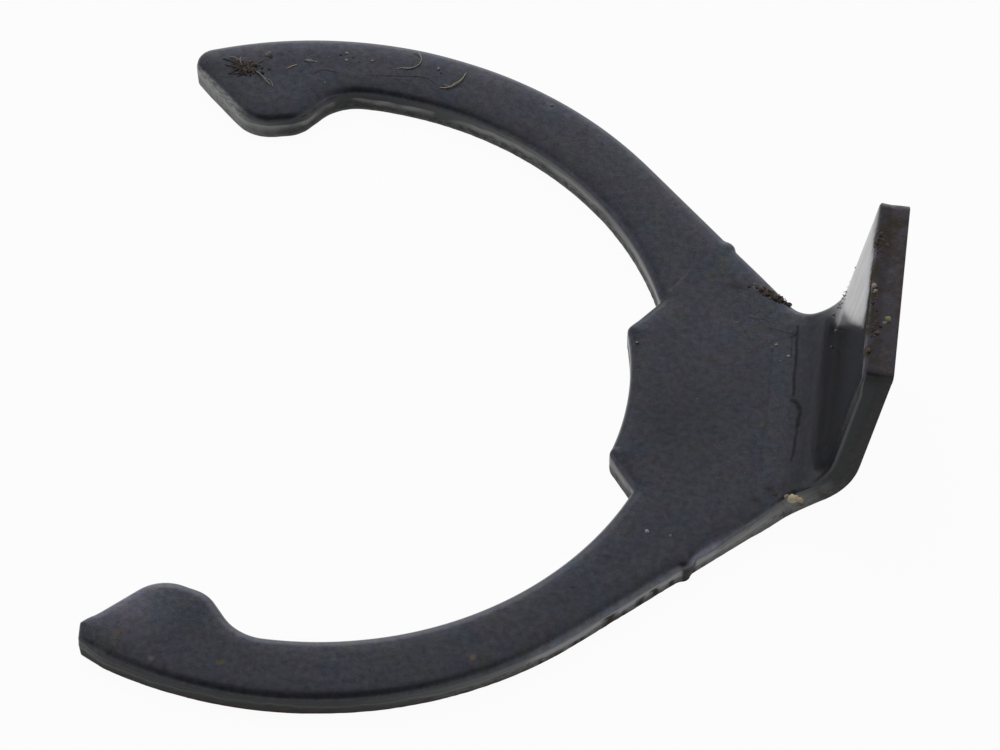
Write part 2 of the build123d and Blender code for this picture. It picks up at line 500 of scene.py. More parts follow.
def rimDistance(points, outline, blockSize=4000):
    # distance in the flat sheet from each point to the nearest outline point, in blocks to spare memory
    near = np.empty(len(points), np.float32)
    for start in range(0, len(points), blockSize):
        block = points[start:start + blockSize, None, :].astype(np.float32) - outline[None].astype(np.float32)
        near[start:start + blockSize] = np.sqrt((block ** 2).sum(axis=2).min(axis=1))
    return near


def between(first, second, spread):
    # straight lines from each point of one rim to its partner on the other
    return first[:, None] + (second - first)[:, None] * spread[None, :, None]


def buildClip(shape, material):
    # the two walls, and the upper and lower face between their rims, folded up together
    outlines = wholeOutline(shape)
    total = sum(length[-1] for _, _, length in outlines)
    walls, facing = [], []
    for side, (points, outward, length) in zip(("inside", "outside"), outlines):
        along = length if side == "outside" else -length % total
        inset, height = wallProfile(shape, points, along, length, total, side, roomForRoll(points, outward))
        flat = points[:, None] + outward[:, None] * inset[..., None]
        walls.append(np.concatenate([flat, height[..., None]], axis=2))
        facing.append(np.repeat(outward[:, 1], inset.shape[1]))
    inner, outer = walls
    even, crowding = np.linspace(0, 1, shape["across"] + 1), shape["towardsRims"]
    spread = (1 - crowding) * even + crowding * (0.5 - 0.5 * np.cos(np.pi * even))
    top = between(inner[:, 0], outer[:, 0], spread)
    outline = np.concatenate([points for points, _, _ in outlines])
    sunk = droop(shape, rimDistance(top[..., :2].reshape(-1, 2), outline))
    top[..., 2] = (shape["thickness"] - sunk).reshape(top.shape[:2])
    below = between(inner[:, -1], outer[:, -1], np.linspace(0, 1, shape["acrossBelow"] + 1))
    surfaces = [top, below, inner, outer]
    counts = [surface.shape[0] * surface.shape[1] for surface in surfaces]
    firsts = np.cumsum([0, *counts[:-1]])
    faces = np.concatenate([gridFaces(*surface.shape[:2], first) for surface, first in zip(surfaces, firsts)])
    flat = np.concatenate([surface.reshape(-1, 3) for surface in surfaces])
    # the band runs from 0 at the rim to 4 at the underside, one for each of the wall's four parts
    down = [np.linspace(part, part + 1, steps + 1)[1:] for part, steps in enumerate(shape["bandSteps"])]
    wallBand = np.tile(np.concatenate([[0], *down]), len(inner) + len(outer))
    numbers = {
        "facing": np.concatenate([np.zeros(sum(counts[:2])), *facing]),
        "band": np.concatenate([np.zeros(counts[0]), np.full(counts[1], len(down)), wallBand]),
        "flatPlace": flat,
    }
    return addPiece("spring_clip", foldUp(shape, flat), faces, material, numbers)


finish = {
    # blue-black, towards blue, purple and green
    "oxide": [(0.041, 0.041, 0.053), (0.036, 0.041, 0.053), (0.045, 0.041, 0.053), (0.042, 0.044, 0.046)],
    "oxideMetal": 0.75,
    # the walls' bands: round the arms and towards the plate, or in two tones
    "sheared": [(0.016, 0.018, 0.019), (0.060, 0.062, 0.063)], "shearedTab": (0.010, 0.012, 0.013),
    "shearedTaper": (0.135, 0.143, 0.148), "farEnd": (0.17, 0.175, 0.17),
    "ridge": [(0.14, 0.14, 0.14), (0.13, 0.13, 0.13)], "neck": [(0.075, 0.073, 0.073), (0.125, 0.128, 0.127)],
    "torn": [(0.014, 0.013, 0.012), (0.050, 0.050, 0.050)],
    "tornPlate": [(0.034, 0.033, 0.032), (0.12, 0.12, 0.12)],
    "tornTab": [(0.010, 0.010, 0.010), (0.024, 0.023, 0.022)],
    "tabEnd": [(0.038, 0.034, 0.040), (0.028, 0.021, 0.019)],  # the tab's upper edge, and the rust on it
    "wornEdge": (0.044, 0.044, 0.046), "cake": (0.021, 0.017, 0.013), "bite": (0.024, 0.019, 0.019),
    "lipRust": (0.045, 0.024, 0.017), "neckRust": (0.050, 0.034, 0.024),
    # corner: the colour of a painted shadow under the tab's near upper corner
    "crust": (0.030, 0.029, 0.028), "corner": (0.012, 0.012, 0.013),
    # where things are on the flat sheet: each limit is an axis and the places where it goes from 0 to 1
    "regions": {
        "tab": [("X", 23.5, 26.0)], "tabEnd": [("X", 33.55, 33.75)], "nearTabTop": [("X", 33.05, 33.4)],
        "belowTabTop": [("X", 33.5, 33.1)], "upperTab": [("X", 27, 31)], "beforeTab": [("X", 23.0, 21.0)],
        # corner: a painted shadow on the tab's wall under its near upper corner
        "corner": [("X", 32.7, 33.25), ("Y", -4.7, -5.0)],
        # painted shade over the inside of the fold
        "hollow": [("X", 22.9, 24.2), ("X", 29.5, 27.0)],
        "farArm": [("Y", 7, 11)], "farSide": [("Y", 6, 9)], "farToe": [("X", -3.2, -5), ("Y", 11, 13)],
        "farEnd": [("X", -5.4, -6.2), ("Y", 11, 13), ("Y", 18.6, 18.2)],
        "nearArm": [("Y", -10, -13)], "offNearArm": [("Y", -13, -9)], "nibSide": [("Y", -7, -8)],
        "nearTaper": [("X", 12.0, 12.6), ("X", 20.4, 20.0), ("Y", -5, -7)],
        "pastNib": [("X", 18.9, 19.3), ("X", 24.8, 23.6), ("Y", -4, -5)],
        "nearNeck": [("X", 20.2, 20.9), ("X", 24.8, 23.6), ("Y", -4, -5)],
    },
    # what comes in patches: stretch, scale, detail and roughness of its noise, and where it goes from 0 to 1
    "patches": {
        "blue": (None, 0.42, 4, 0.55, 0.44, 0.6), "purple": ((1, 1, 0.3), 0.85, 4, 0.6, 0.46, 0.64),
        "green": ((-1, 1, 0.3), 0.95, 4, 0.6, 0.52, 0.68), "filmy": ((0.3, 1.3, 1), 1.1, 4, 0.6, 0.4, 0.65),
        "specks": (None, 5.2, 2, 0.5, 0.655, 0.72), "specky": (None, 0.6, 2, 0.55, 0.45, 0.6),
        "pits": (None, 4.5, 3, 0.6, 0.56, 0.66), "ridged": (None, 0.5, 2, 0.55, 0.36, 0.54),
        "rust": (None, 1.3, 3, 0.55, 0.45, 0.6), "neckRust": (None, 1.7, 3, 0.6, 0.56, 0.64),
        "endRust": (None, 1.9, 4, 0.65, 0.5, 0.66),
    },
    "pitted": ((20.6, 4.4), (2.6, 3.2), 0.3),  # flat place, half sizes, how much is full
    # how much each of these lightens or darkens the upper face and its rim; the first two are painted
    # shade, over the fold and on the rims that face -Y
    "changes": {
        "hollow": -0.4, "rimShade": -0.22, "taperRim": 1.1, "neckRim": 0.8, "specks": -0.45, "pits": -0.22,
    },
    # soft lighter and darker patches on the upper face, one of them a painted highlight on the near toe:
    # flat place, radius, times what
    "shades": [
        ((17.2, -1.5), 3.6, 0.79), ((20.6, 0.5), 2.4, 0.93), ((18.9, 4.6), 2.6, 1.14),
        # the first patch on the next line is a painted highlight on the near toe
        ((-6.2, -15.9), 2.6, 1.95), ((9.1, 17.3), 0.5, 1.25), ((-1.0, -18.0), 1.6, 0.95),
        ((16.5, 5.4), 0.5, 1.15), ((11.0, 15.9), 0.7, 0.85),
    ],
    # marks on the upper face: flat places joined by straight strokes, half width, times what
    "strokes": [
        # the crease scribed along the fold, its groove drawn dark as painted shade
        ([(22.90, 4.9), (23.02, 2.6), (23.14, 0.6)], 0.15, 0.2),
        ([(23.14, 0.3), (23.45, 0.05), (23.70, -0.45), (23.62, -1.3)], 0.19, 0.15),
        ([(23.62, -1.3), (23.58, -2.3), (23.52, -3.4)], 0.14, 0.3),
        # scratches
        ([(22.62, 4.6), (22.70, 3.0)], 0.06, 0.55), ([(22.55, 4.3), (22.9, 4.35)], 0.08, 0.3),
        ([(21.2, 4.8), (22.1, 4.6), (22.9, 4.4)], 0.05, 0.5),
        ([(21.55, 3.9), (21.6, 1.5), (21.68, -1.0), (21.6, -3.6)], 0.05, 0.75),
        ([(16.25, 6.3), (16.6, 6.9), (17.15, 7.9)], 0.07, 1.5), ([(16.1, 6.0), (16.9, 6.5)], 0.05, 1.35),
        ([(18.2, 2.0), (19.4, 1.2)], 0.04, 1.22), ([(14.2, 9.0), (15.0, 10.2)], 0.05, 1.2),
        ([(-2.7, 17.6), (-2.2, 17.9), (-1.5, 17.8)], 0.04, 0.7),
        ([(3.2, 17.7), (2.6, 18.2), (1.4, 18.0)], 0.035, 0.75),
    ],
    # stains and pits: flat place, half sizes, colour
    "stains": [
        ((-6.52, -17.8), (0.32, 0.34), (0.080, 0.058, 0.048)),
        ((-4.84, -18.92), (0.24, 0.22), (0.09, 0.095, 0.09)),
        ((-1.68, -18.68), (0.28, 0.2), (0.085, 0.072, 0.030)),
        ((9.72, -16.72), (0.24, 0.22), (0.10, 0.08, 0.065)),
        ((15.12, -10.08), (0.32, 0.16), (0.022, 0.024, 0.027)),
        ((13.72, -12.08), (0.24, 0.16), (0.024, 0.027, 0.026)),
        ((3.4, -17.8), (0.2, 0.18), (0.07, 0.07, 0.075)), ((22.3, -5.0), (0.4, 0.25), (0.025, 0.020, 0.017)),
        ((21.6, -5.7), (0.3, 0.2), (0.028, 0.024, 0.022)), ((-6.2, 17.4), (0.8, 0.55), (0.020, 0.013, 0.012)),
        ((19.4, 7.1), (0.7, 0.35), (0.028, 0.026, 0.026)), ((22.2, 5.6), (0.35, 0.25), (0.026, 0.024, 0.024)),
    ],
    # dark bites out of the near taper's lower edge: how far along X, half width, height in bands
    "bites": [
        (12.74, 0.10, 2.4), (13.5, 0.16, 2.5), (14.18, 0.13, 2.2), (14.5, 0.12, 2.3), (15.64, 0.24, 1.5),
        (16.2, 0.12, 2.3), (16.9, 0.16, 1.9), (17.52, 0.14, 1.7), (18.24, 0.12, 2.1), (19.6, 0.14, 2.2),
    ],
    "nibAt": 18.95,  # the nib's side face, darkened as painted shade, along X
    # dirt caked on the tab's upper edge: place along Y and through the sheet, half sizes
    "caked": [
        ((3.3, 1.2), (1.0, 0.85)), ((1.3, 1.45), (0.9, 0.4)), ((-0.2, 1.4), (0.5, 0.45)),
        ((-1.7, 1.4), (1.2, 0.5)), ((-3.5, 1.35), (0.5, 0.45)), ((4.3, 0.6), (0.5, 0.5)),
    ],
}


class Named:
    # values under plain names
    def __init__(self, **values):
        vars(self).update(values)


def nearLine(r, place, start, end, width):
    # 1 along the line from start to end, 0 from `width` off it
    run = Vector((*end, 0)) - Vector((*start, 0))
    fromStart = r.vector("SUBTRACT", place, (*start, 0))
    share = r.vector("DOT_PRODUCT", fromStart, run / run.length_squared, output="Value").rise(0, 1)
    return r.vector("DISTANCE", fromStart, r.scaled(run, share), output="Value").rise(width, 0.35 * width)


def nearSpot(r, place, centre, halfSizes, core=0.25):
    # 1 in the middle of an ellipse, 0 outside it
    away = r.stretch(r.vector("SUBTRACT", place, (*centre, 0)), (1 / halfSizes[0], 1 / halfSizes[1], 0))
    return r.vector("LENGTH", away, output="Value").rise(1, core)


def markOut(r, f):
    # where each thing is, as masks from 0 to 1, and the noises that several parts share. The band runs down
    # the wall: 0 to 1 is the roll, to 2 the sheared band, to 3 the torn one, to 4 the lip
    place, band = r.carried("flatPlace", "Vector"), r.carried("band", "Fac")
    axes = {axis: r.part(place, axis) for axis in "XYZ"}
    x, y = axes["X"], axes["Y"]
    on = Named(band=band, medium=r.noise(place, 3.2, 3, 0.6), fine=r.noise(place, 8.0))
    for name, limits in f["regions"].items():
        setattr(on, name, joined("MULTIPLY", [axes[axis].rise(low, high) for axis, low, high in limits]))
    patches = {}
    for name, (stretched, scale, detail, roughness, low, high) in f["patches"].items():
        source = r.stretch(place, stretched) if stretched else place
        patches[name] = r.noise(source, scale, detail, roughness).rise(low, high)
    on.patchy = Named(**patches)
    # marks on the flat get ragged edges: place + 0.22 * (noise - 0.5)
    warp = r.add("ShaderNodeTexNoise", {}, {"Vector": place, "Scale": 2.4, "Detail": 3}, "Color")
    warp = r.vector("SUBTRACT", warp, (0.5, 0.5, 0.5))
    on.flat = r.vector("MULTIPLY_ADD", warp, (0.22, 0.22, 0), r.stretch(place, (1, 1, 0)))
    on.pitted = nearSpot(r, on.flat, *f["pitted"]) * on.patchy.pits
    on.step = band + 0.3 * (r.noise(r.stretch(place, (1, 1, 0.4)), 2.2) - 0.5)
    on.streak = r.noise(r.stretch(place, (0.5, 0.5, 1.2)), 6.0, 4, 0.65)
    on.blotch = r.noise(place, 2.6, 4, 0.6)
    on.lightness = (on.streak * 0.6 + on.blotch * 0.4).rise(0.38, 0.66)
    on.plateSide = (x + 3 * y.rise(-5, 5)).rise(4, 12).most(0.85 * on.farToe)
    on.farLip = on.farSide * on.step.rise(2.75, 3.1)
    wander = (on.blotch - 0.5) * 0.5
    bites = [(band + wander).rise(2.7, 3.2) * 0.4]  # a faint ragged line under them all
    for middle, half, top in f["bites"]:
        across = (x + wander - middle).size().rise(half * 1.6, half * 0.4)
        bites.append(across * (band + wander * 2).rise(top - 0.15, top + 0.4))
    # the nib's side face darkened: painted shade, carried with the bites
    nib = (x - f["nibAt"]).size().rise(0.34, 0.2) * on.nibSide * band.rise(0.6, 1.2)
    on.bites = (joined("MAXIMUM", bites) * on.nearTaper * (1 - 0.7 * on.pastNib)).most(nib * 0.85)
    spared = (1 - on.tab) * (1 - 0.8 * on.farToe) * (1 - 0.8 * on.pastNib) * (1 - 0.75 * on.farSide)
    on.rusty = on.step.rise(2.6, 2.95) * on.patchy.rust * spared
    on.worn = band.rise(0.05, 0.4) * on.tab * (0.3 + 0.7 * on.upperTab) * on.belowTabTop
    endPlace = r.add("ShaderNodeCombineXYZ", {}, {0: y + (on.blotch - 0.5) * 0.9, 1: axes["Z"]})
    caked = joined("MAXIMUM", [nearSpot(r, endPlace, *spot, 0.4) for spot in f["caked"]])
    on.caked = on.nearTabTop * caked * (0.35 + 0.65 * on.medium.rise(0.36, 0.5))
    on.wall = band.rise(0.75, 1.0).most(on.farEnd * band.rise(0.35, 0.6)) * (1 - band.rise(3.95, 4.0))
    return on


def painted(r, tone, layers):
    # colours laid one after another over a tone, each where its mask is 1
    for mask, colour in layers:
        tone = r.blend(mask, tone, colour)
    return tone


def upperFace(r, f, on):
    # four tones in clouds, times a shade: lighter and darker grain, painted shade over the fold and on
    # the rims that face -Y, lighter rims by the taper and the neck, darker specks and pits, the listed soft
    # patches with a painted highlight on the near toe, and strokes, the crease drawn as painted shade. The
    # stains lie on top
    base, *clouds = f["oxide"]
    tone = painted(r, base, zip((on.patchy.blue, on.patchy.purple, on.patchy.green), clouds))
    shade = 0.05 + 1.2 * on.medium + 0.7 * on.fine
    masks = {
        # painted shade over the inside of the fold
        "hollow": on.hollow,
        # painted shade on the rolled rims that face -Y, short of the fold
        "rimShade": on.band.rise(0.15, 0.75) * r.carried("facing", "Fac").rise(-0.74, -0.93) * on.beforeTab,
        "taperRim": on.band.rise(0.35, 0.95) * on.nearTaper,
        "neckRim": on.band.rise(0.1, 0.45) * on.band.rise(1.0, 0.6) * on.pastNib,
        "specks": on.patchy.specks * (0.25 + 0.75 * on.patchy.specky) * (0.5 + 0.5 * on.farArm),
        "pits": on.pitted,
    }
    for name, mask in masks.items():
        shade = shade * (1 + f["changes"][name] * mask)
    for centre, radius, times in f["shades"]:
        shade = shade * (1 + (times - 1) * nearSpot(r, on.flat, centre, (radius, radius), 0))
    broken = 0.55 + 0.45 * on.fine.rise(0.4, 0.6)
    for places, width, times in f["strokes"]:
        line = joined("MAXIMUM", [nearLine(r, on.flat, *ends, width) for ends in zip(places, places[1:])])
        shade = shade * (1 + (times - 1) * line * broken)
    ragged = on.medium.rise(0.25, 0.5)
    stains = [(nearSpot(r, on.flat, *spot) * ragged, colour) for *spot, colour in f["stains"]]
    return painted(r, r.scaled(tone, shade), stains)


def wallBands(r, f, on):
    # a smooth sheared band, a bright ridge where the sheet began to tear, the torn band and the rusty lip,
    # all lighter near the plate and darker round the tab
    step, plateSide = on.step, on.plateSide
    arms, plate, tab = (r.blend(on.lightness, *f[name]) for name in ("torn", "tornPlate", "tornTab"))
    torn = painted(r, arms, [(plateSide, plate), (on.nearArm * (1 - plateSide), f["torn"][0]), (on.tab, tab)])
    ridge = step.rise(1.62, 1.85) * on.patchy.ridged * (1 - on.tab) * on.offNearArm
    endMarks = (on.streak + 0.4 * (on.fine - 0.5)).rise(0.42, 0.6)
    return painted(r, r.blend(plateSide, *f["sheared"]), [
        (on.tab, f["shearedTab"]),
        (on.nearTaper * step.rise(0.9, 1.5), f["shearedTaper"]),
        (ridge * (1 - 0.7 * on.nearTaper), r.blend(plateSide, *f["ridge"])),
        (step.rise(2.2, 2.5) * (1 - 0.5 * on.farToe), torn),
        (on.farEnd * (0.1 + 0.9 * endMarks), f["farEnd"]),
        (on.nearNeck * step.rise(0.9, 2.0), r.blend(on.lightness, *f["neck"])),
        (on.nearNeck * on.patchy.neckRust, f["neckRust"]),
        # the bites, with the nib's painted shade among them
        (on.bites, f["bite"]),
        (on.rusty, f["lipRust"]),
        (on.farLip, f["ridge"][1]),
        (on.tabEnd, r.blend(on.patchy.endRust, *f["tabEnd"])),
    ])


def dullCrustAndShade(r, f, on):
    # rust, the bites with the nib's painted shade, the darker parts of the torn band, caked dirt, a painted
    # shadow under the tab's near upper corner, and a thin film in streaks that dulls the mirror of the tab's
    # inner face: how much of the surface it covers, and its colour
    arm, offEnd = 1 - on.plateSide, 1 - on.tabEnd
    dull = (0.55 * on.lightness.rise(0.8, 0.2) * (1 - on.farToe)).most(0.55 * on.nearArm * arm)
    dull = (on.step.rise(2.1, 2.5) * offEnd * dull).most(0.3 * arm * on.band.rise(1.0, 1.4))
    dull = dull.most(0.25 * on.tab * on.band.rise(0.8, 1.2) * offEnd)
    dull = dull * (1 - 0.7 * on.pastNib) * (1 - on.farLip)
    endRust = 0.5 * on.tabEnd * on.patchy.endRust
    onWall = joined("MAXIMUM", [on.bites, on.rusty, dull, endRust, 0.9 * on.corner])
    film = 0.11 * on.tab * (1 - on.wall) * on.patchy.filmy
    share = joined("MAXIMUM", [onWall * on.wall, on.caked * 0.8, film])
    return share, painted(r, f["crust"], [
        (on.corner, f["corner"]),
        (on.bites, f["bite"]),
        (on.rusty, f["lipRust"]),
        (on.tabEnd * (1 - on.corner), f["tabEnd"][1]),
        (on.caked, f["cake"]),
    ])


def blackenedSteel(f):
    material = bpy.data.materials.new("blackened steel")
    r = Recipe(material)
    on = markOut(r, f)
    face = r.blend(on.worn, upperFace(r, f, on), f["wornEdge"])
    colour = r.blend(on.caked, r.blend(on.wall, face, wallBands(r, f, on)), f["cake"])
    roughness = 0.26 - 0.1 * on.tab + 0.14 * on.worn + 0.06 * (on.fine - 0.5)
    roughness = roughness + on.wall * (0.05 + 0.22 * on.step.rise(1.8, 2.3))
    torn = on.step.rise(1.7, 2.2) * (on.streak * 1.6 + on.blotch - 1.3)
    height = 0.6 * on.medium + 0.1 * on.fine - 0.5 * on.pitted + on.wall * (torn + on.tabEnd * on.blotch)
    bump = r.add("ShaderNodeBump", {}, {"Strength": 0.4, "Distance": 0.03 * mm, "Height": height})
    metal = f["oxideMetal"] * (1 - 0.7 * on.worn * (1 - on.wall))
    bare = {"Base Color": colour, "Metallic": metal, "Roughness": roughness, "Normal": bump}
    share, crustAndShadeTone = dullCrustAndShade(r, f, on)
    dulled = {"Base Color": crustAndShadeTone, "Roughness": 0.9, "Specular IOR Level": 0.12, "Normal": bump}
    mixed = r.add("ShaderNodeMixShader", {}, {0: share, 1: r.surface(bare), 2: r.surface(dulled)})
    r.add("ShaderNodeOutputMaterial", {}, {"Surface": mixed})
    return material


steel = blackenedSteel(finish)
springClip = buildClip(clip, steel)
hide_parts("circlip")
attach(springClip, "root")
print("clip built:", len(springClip.data.polygons), "faces")


# grains and fibres that lie on the clip. A grain: place, half sizes, turn, colour
dirt = {
    "white": (0.14, 0.14, 0.135), "straw": (0.20, 0.165, 0.085), "rust": (0.038, 0.020, 0.015),
    "dark": (0.018, 0.014, 0.012), "brown": (0.035, 0.021, 0.015), "sand": (0.13, 0.11, 0.08),
    "pink": (0.125, 0.092, 0.080), "green": (0.105, 0.105, 0.05), "grey": (0.07, 0.07, 0.07),
    "cream": (0.26, 0.225, 0.15),
    "lumpSeed": 21, "grainRoughness": 0.8, "fibreRoughness": 0.5,
    "grains": [
        ((-5.16, 18.5, 1.52), (0.17, 0.13, 0.11), 20, "grey"),
        ((-5.0, 18.42, 1.5), (0.1, 0.12, 0.06), 0, "dark"),
        ((-5.3, 17.6, 1.5), (0.12, 0.09, 0.06), 40, "dark"),
        ((-4.95, 17.55, 1.5), (0.07, 0.1, 0.05), 10, "dark"),
        ((-3.05, 18.4, 1.52), (0.16, 0.06, 0.07), 5, "white"),
        ((-2.7, 18.38, 1.5), (0.05, 0.05, 0.05), 0, "sand"),
        ((-1.32, 19.2, 1.5), (0.08, 0.06, 0.06), 0, "white"),
        ((-1.26, 18.72, 1.5), (0.09, 0.07, 0.06), 30, "white"),
        ((-1.6, 19.05, 1.49), (0.1, 0.08, 0.05), 30, "dark"),
        ((-0.95, 18.95, 1.49), (0.08, 0.06, 0.05), 0, "dark"),
        ((0.02, 18.86, 1.5), (0.08, 0.06, 0.06), 0, "sand"),
        ((-0.6, 18.7, 1.49), (0.06, 0.05, 0.04), 0, "dark"),
        ((3.36, 18.86, 1.51), (0.11, 0.08, 0.08), 60, "white"),
        ((3.5, 18.6, 1.49), (0.08, 0.07, 0.05), 0, "dark"),
        ((-2.1, 17.1, 1.5), (0.06, 0.05, 0.04), 0, "sand"),
        ((9.2, 17.35, 1.5), (0.07, 0.09, 0.03), 0, "grey"),
        ((15.08, 2.92, 1.51), (0.06, 0.05, 0.04), 0, "sand"),
        ((16.8, -8.32, 1.51), (0.10, 0.10, 0.07), 30, "white"),
        ((21.69, 3.75, 1.51), (0.08, 0.07, 0.05), 0, "sand"),
        ((21.5, 3.6, 1.51), (0.04, 0.04, 0.03), 0, "sand"),
        ((22.34, 3.08, 1.62), (0.10, 0.07, 0.06), 0, "white"),
        ((22.0, 2.75, 1.55), (0.05, 0.06, 0.05), 0, "grey"),
        ((24.43, 3.44, 3.46), (0.07, 0.08, 0.07), 0, "grey"),
        ((24.30, 2.6, 3.25), (0.04, 0.05, 0.04), 0, "grey"),
        ((23.32, -5.66, 1.84), (0.27, 0.2, 0.19), 25, "cream"),
        ((23.66, -5.76, 1.93), (0.17, 0.14, 0.13), 0, "straw"),
        ((23.08, -5.52, 1.74), (0.16, 0.12, 0.1), 0, "sand"),
        ((22.6, -5.3, 1.58), (0.2, 0.12, 0.07), 20, "dark"),
        ((25.94, 0.31, 10.80), (0.13, 0.16, 0.11), 0, "pink"),
        ((26.0, 0.0, 10.76), (0.09, 0.09, 0.09), 0, "sand"),
        ((26.76, -1.49, 10.66), (0.17, 0.2, 0.15), 0, "green"),
        ((26.6, -1.75, 10.66), (0.1, 0.12, 0.1), 0, "grey"),
        ((25.96, 3.49, 10.84), (0.12, 0.14, 0.09), 0, "dark"),
        ((26.3, 2.9, 10.76), (0.12, 0.1, 0.08), 30, "rust"),
        ((26.43, -1.94, 10.68), (0.09, 0.12, 0.08), 0, "dark"),
        ((25.98, -3.5, 10.72), (0.1, 0.16, 0.07), 0, "rust"),
        ((17.9, -8.4, 1.5), (0.05, 0.05, 0.04), 0, "sand"),
    ],
    # loose grains strewn round the straight line between two places: how many, how far off it, their
    # sizes, colours and seed
    "strewn": [
        ((-6.5, 17.5, 1.52), (-5.8, 17.38, 1.54), 190, (0.36, 0.34, 0.05), (0.035, 0.10),
         "rust dark brown dark", 1),
        ((-7.0, 17.75, 1.48), (-5.3, 17.2, 1.48), 90, (0.30, 0.45, 0.01), (0.02, 0.055),
         "dark dark dark brown rust", 2),
        ((20.0, 7.35, 1.44), (21.8, 6.60, 1.46), 200, (0.16, 0.24, 0.05), (0.03, 0.09),
         "dark brown dark dark grey", 3),
        ((20.7, 7.05, 1.45), (21.6, 6.68, 1.47), 60, (0.12, 0.18, 0.05), (0.07, 0.13), "dark dark brown", 11),
        ((21.75, 6.55, 1.44), (22.15, 6.38, 1.46), 40, (0.08, 0.10, 0.03), (0.03, 0.07),
         "rust brown rust dark", 4),
        ((19.2, 7.0, 1.49), (20.4, 6.2, 1.49), 26, (0.3, 0.5, 0.0), (0.02, 0.045), "dark dark grey", 10),
        ((24.70, 5.25, 4.4), (24.36, 4.98, 3.2), 40, (0.05, 0.18, 0.2), (0.015, 0.045), "dark grey dark", 5),
        ((25.01, 5.40, 5.8), (24.82, 5.44, 4.3), 40, (0.02, 0.06, 0.3), (0.015, 0.035), "dark grey dark", 12),
        ((24.3, 4.9, 3.2), (24.2, 4.4, 2.9), 10, (0.05, 0.12, 0.1), (0.03, 0.055), "dark sand", 6),
        ((25.98, 3.7, 10.83), (26.05, 2.5, 10.79), 20, (0.25, 0.4, 0.03), (0.03, 0.10), "brown dark dark", 7),
        ((26.0, -0.1, 10.75), (26.15, -2.7, 10.70), 20, (0.2, 0.4, 0.03), (0.03, 0.10),
         "brown dark dark brown", 13),
        ((-4.3, 18.4, 1.48), (1.0, 18.9, 1.48), 16, (0.2, 0.4, 0.0), (0.02, 0.045), "dark sand dark", 8),
        ((17.2, 3.0, 1.49), (21.4, -3.0, 1.49), 22, (1.4, 3.0, 0.0), (0.02, 0.04), "dark grey sand", 9),
    ],
    # a fibre: places it runs through, radius, colour
    "fibres": [
        ([(-5.62, 17.34, 1.54), (-5.25, 16.98, 1.64), (-4.98, 16.72, 1.6), (-4.72, 16.5, 1.52)],
         0.018, "white"),
        ([(-5.1, 16.95, 1.52), (-4.75, 16.72, 1.54), (-4.6, 16.4, 1.52)], 0.016, "sand"),
        ([(-7.0, 18.05, 1.54), (-6.7, 17.98, 1.60), (-6.35, 17.8, 1.58)], 0.018, "sand"),
        ([(-6.45, 18.15, 1.54), (-6.45, 17.8, 1.60), (-6.3, 17.5, 1.56)], 0.016, "sand"),
        ([(-6.9, 16.9, 1.52), (-6.6, 17.2, 1.56), (-6.3, 17.4, 1.56)], 0.02, "dark"),
        ([(-7.4, 17.9, 1.51), (-6.9, 17.8, 1.55), (-6.3, 17.5, 1.55)], 0.022, "dark"),
        ([(-5.6, 17.7, 1.55), (-5.9, 17.5, 1.6), (-6.1, 17.1, 1.55), (-6.5, 16.8, 1.51)], 0.022, "dark"),
        ([(-7.2, 17.5, 1.51), (-6.8, 17.45, 1.56), (-6.3, 17.3, 1.57)], 0.022, "dark"),
        ([(-6.7, 18.3, 1.51), (-6.5, 17.95, 1.57), (-6.1, 17.6, 1.6)], 0.02, "dark"),
        ([(-5.2, 17.1, 1.51), (-5.7, 17.3, 1.57), (-6.2, 17.4, 1.6)], 0.024, "dark"),
        ([(-7.0, 17.0, 1.51), (-6.5, 17.0, 1.54), (-6.0, 17.25, 1.58)], 0.02, "brown"),
        ([(-5.3, 18.1, 1.51), (-5.6, 17.8, 1.55), (-6.0, 17.6, 1.58)], 0.018, "brown"),
        ([(-4.1, 17.68, 1.52), (-3.9, 17.86, 1.55), (-3.62, 18.05, 1.52)], 0.02, "straw"),
        ([(-3.35, 18.36, 1.53), (-3.1, 18.42, 1.56), (-2.75, 18.36, 1.52)], 0.022, "sand"),
        ([(1.95, 19.78, 1.50), (2.22, 19.72, 1.56), (2.40, 19.42, 1.58), (2.40, 19.08, 1.58),
         (2.22, 18.82, 1.56), (1.84, 18.62, 1.54), (1.35, 18.66, 1.52)], 0.021, "white"),
        ([(1.2, 18.5, 1.51), (1.7, 18.66, 1.53), (2.1, 18.72, 1.53)], 0.018, "sand"),
        ([(3.55, 17.62, 1.52), (3.96, 17.66, 1.56), (4.28, 17.9, 1.62), (4.6, 18.28, 1.62),
         (4.74, 18.82, 1.54)], 0.024, "straw"),
        ([(3.7, 17.85, 1.52), (4.1, 17.72, 1.58), (4.4, 18.0, 1.56)], 0.02, "sand"),
        ([(-2.72, 17.66, 1.51), (-2.3, 17.94, 1.53), (-1.5, 17.84, 1.51)], 0.01, "brown"),
        ([(0.1, 17.9, 1.51), (1.4, 18.1, 1.53), (2.7, 18.2, 1.52), (3.4, 17.8, 1.51)], 0.009, "brown"),
    ],
}


